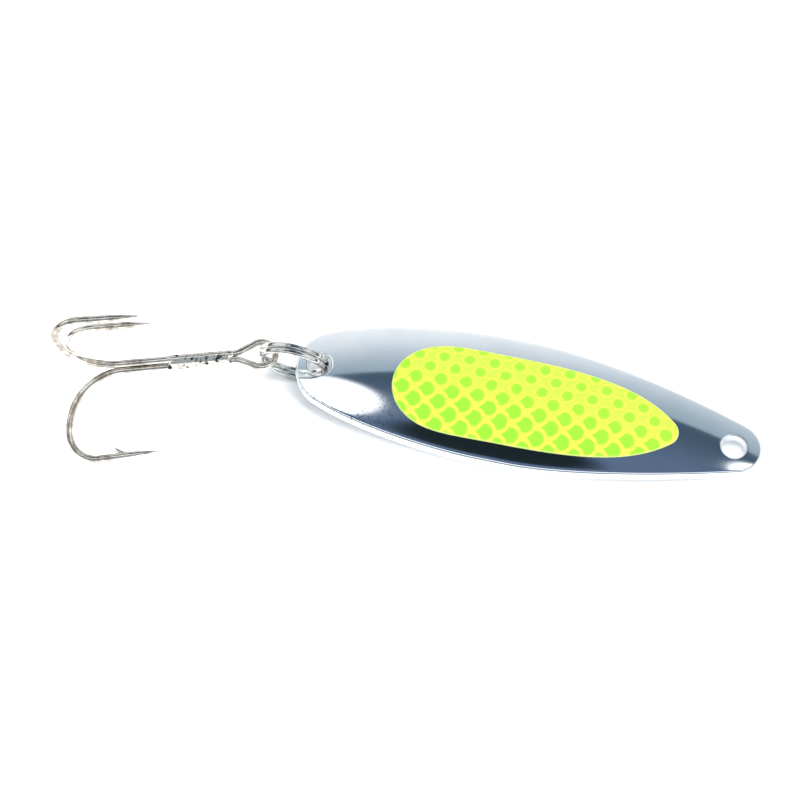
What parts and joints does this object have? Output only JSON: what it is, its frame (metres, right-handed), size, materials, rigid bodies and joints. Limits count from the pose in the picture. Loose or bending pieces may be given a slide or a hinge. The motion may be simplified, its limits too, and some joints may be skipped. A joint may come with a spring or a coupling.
{
  "type": "spoon lure",
  "caption": "Dished metal casting spoon with a scale-pattern decal, a split ring and a treble hook on the tail.",
  "frame": {"origin": "centre of the line-tie hole in the nose, half way through the plate", "axes": "+Z along the line-tie hole, out of the decorated face; +X along the blade, from the hook end to the nose"},
  "size_m": [0.0967, 0.0277, 0.0201],
  "materials": {
    "blade_plating": "bright nickel-chrome plate on stamped brass",
    "decal_film": "glossy chartreuse prism film",
    "ring_steel": "bright stainless spring wire",
    "hook_plating": "nickel plated high-carbon wire, slightly warm",
    "braze_metal": "dull uneven braze"
  },
  "bodies": {
    "blade": {"spoon_body": "blade_plating", "scale_decal": "decal_film"},
    "ring": {"split_ring": "ring_steel"},
    "treble": {"double_hook": "hook_plating", "single_hook": "hook_plating", "braze_joint": "braze_metal"}
  },
  "joints": [
    {"name": "ring_swivel", "type": "hinge", "parent": "blade", "child": "ring", "pos_m": [-0.0565, 0, -0.00006], "axis": [0, 0, 1], "range_deg": [-75, 75]},
    {"name": "hook_swing", "type": "hinge", "parent": "ring", "child": "treble", "pos_m": [-0.06015, 0, -0.00006], "axis": [0, 0.9945, 0.1045], "range_deg": [-90, 90]}
  ]
}
